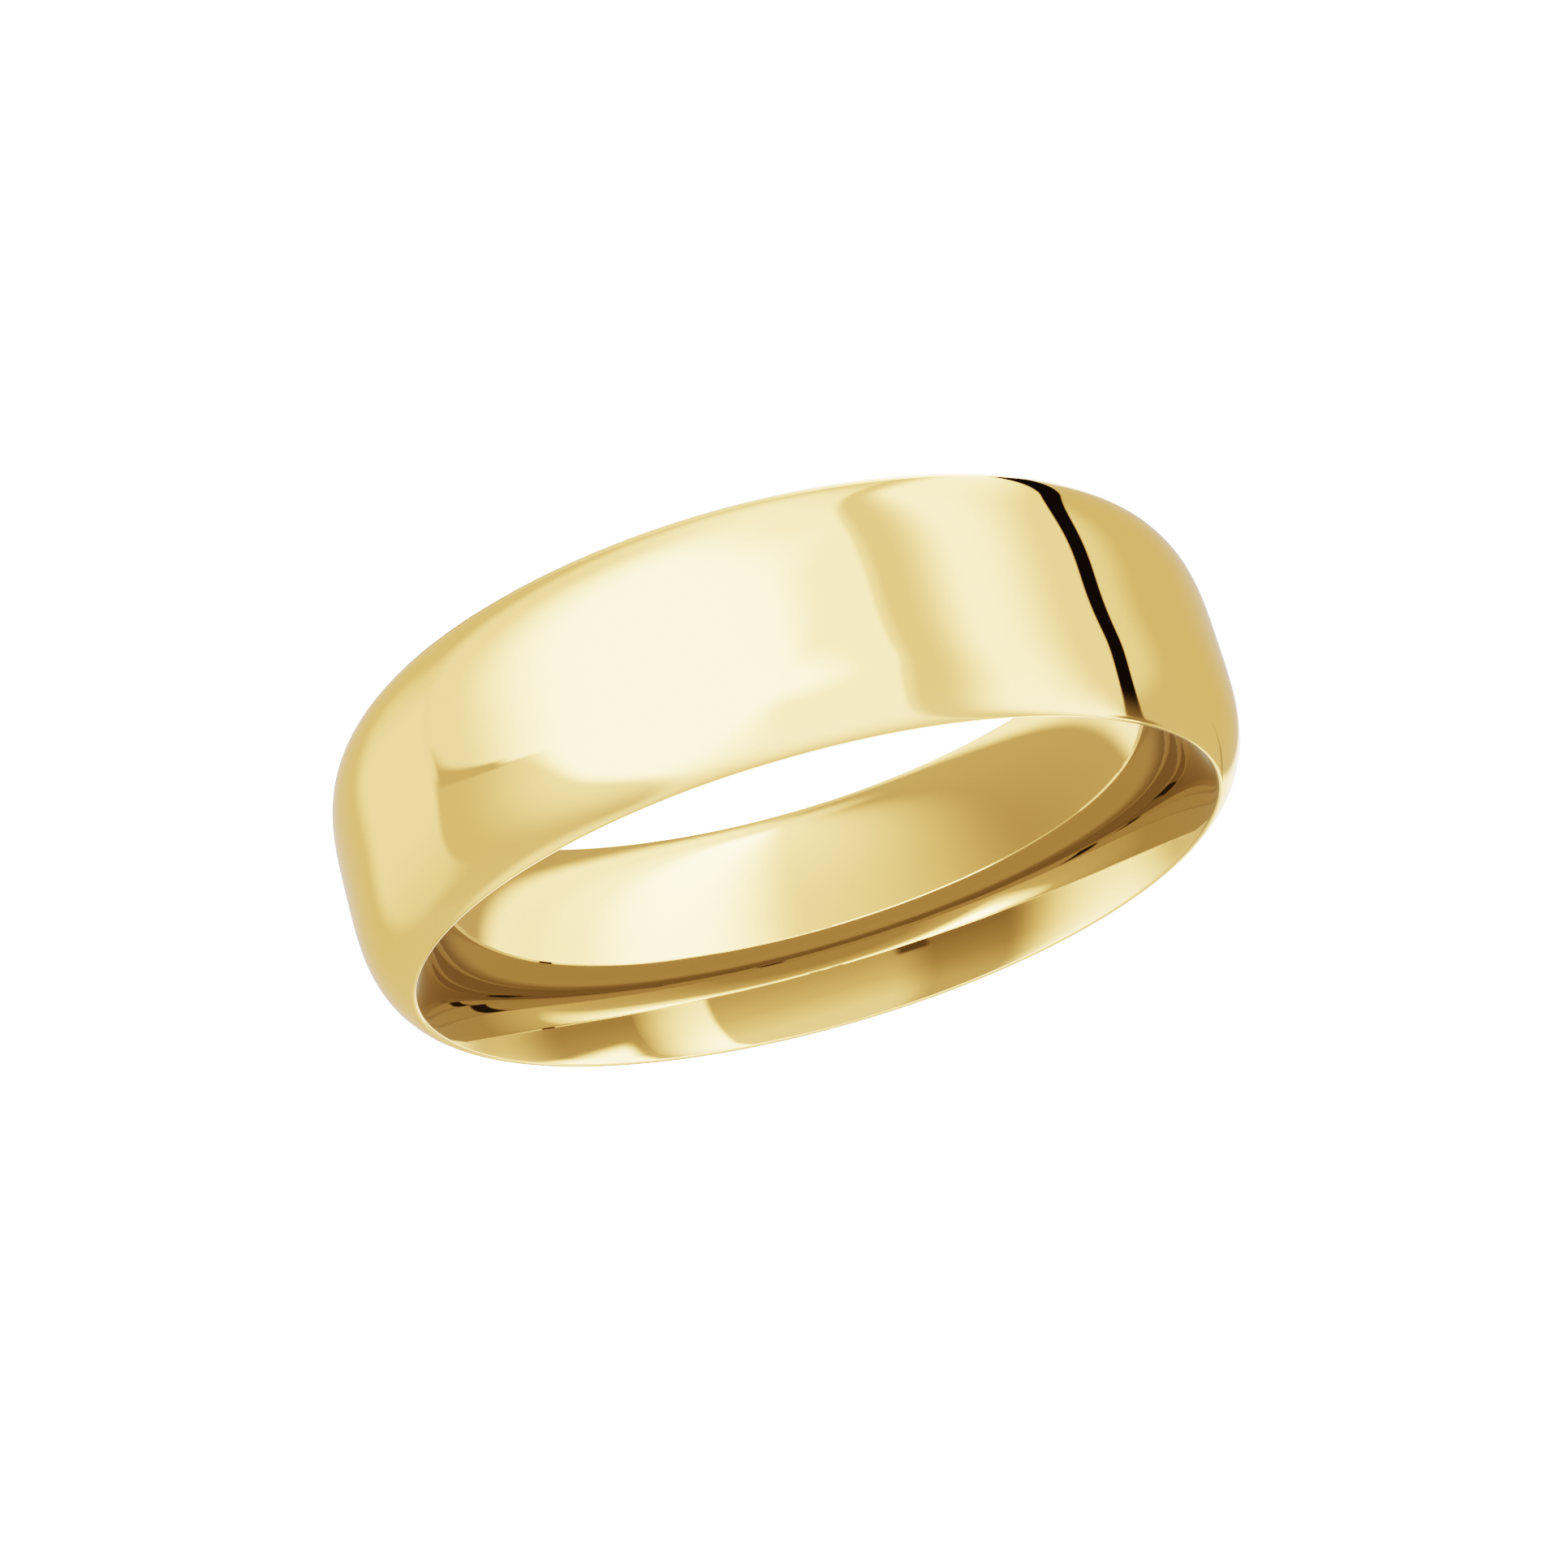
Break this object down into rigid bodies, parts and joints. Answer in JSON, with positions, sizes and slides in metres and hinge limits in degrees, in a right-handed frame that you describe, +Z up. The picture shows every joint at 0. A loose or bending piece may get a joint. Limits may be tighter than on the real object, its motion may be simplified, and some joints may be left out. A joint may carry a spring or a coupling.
{
  "type": "wedding band",
  "caption": "Plain finger ring with a domed outside, a rounded comfort-fit bore and a narrow flat land on each side.",
  "frame": {"origin": "centre of the finger hole, midway between the band's two sides", "axes": "+Y along the ring's axis, +Z up, with the ring standing on edge"},
  "size_m": [0.0214, 0.006, 0.0214],
  "materials": {
    "yellow_gold": null
  },
  "bodies": {
    "root": {"band": "yellow_gold"}
  },
  "joints": []
}
